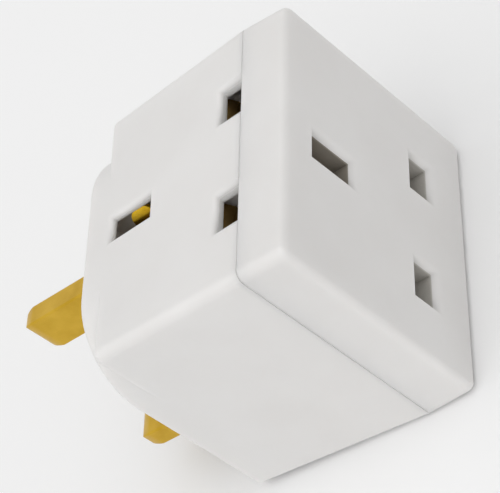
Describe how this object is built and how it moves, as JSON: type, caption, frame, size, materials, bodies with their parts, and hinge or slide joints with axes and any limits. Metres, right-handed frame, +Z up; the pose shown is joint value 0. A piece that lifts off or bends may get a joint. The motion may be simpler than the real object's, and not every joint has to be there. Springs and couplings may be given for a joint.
{
  "type": "multi socket adapter",
  "caption": "Boxy white wall adapter that plugs into a flat-pin mains socket and offers socket outlets on its front and top, with brass pins and spring contacts.",
  "frame": {"origin": "middle of the pin pattern on the plug face", "axes": "+Y along the plug pins into the wall, +Z up towards the earth pin, +X to the right as seen facing the adapter"},
  "size_m": [0.0526, 0.0673, 0.0459],
  "materials": {
    "white_plastic": "satin moulded",
    "pin_brass": "drawn and tumbled",
    "contact_brass": "rolled strip",
    "sleeve_plastic": "moulded",
    "screw_steel": "zinc plated"
  },
  "bodies": {
    "root": {"front_cover": "white_plastic", "rear_housing": "white_plastic", "cover_screw": "screw_steel", "earth_pin": "pin_brass", "earth_bus_bar": "contact_brass", "earth_front_contact": "contact_brass", "earth_front_rivet": "contact_brass", "earth_top_contact": "contact_brass", "earth_top_rivet": "contact_brass", "line_pin": "pin_brass", "line_bus_bar": "contact_brass", "line_front_contact": "contact_brass", "line_front_rivet": "contact_brass", "line_top_contact": "contact_brass", "line_top_rivet": "contact_brass", "line_pin_sleeve": "sleeve_plastic", "neutral_pin": "pin_brass", "neutral_bus_bar": "contact_brass", "neutral_front_contact": "contact_brass", "neutral_front_rivet": "contact_brass", "neutral_top_contact": "contact_brass", "neutral_top_rivet": "contact_brass", "neutral_pin_sleeve": "sleeve_plastic"}
  },
  "joints": []
}
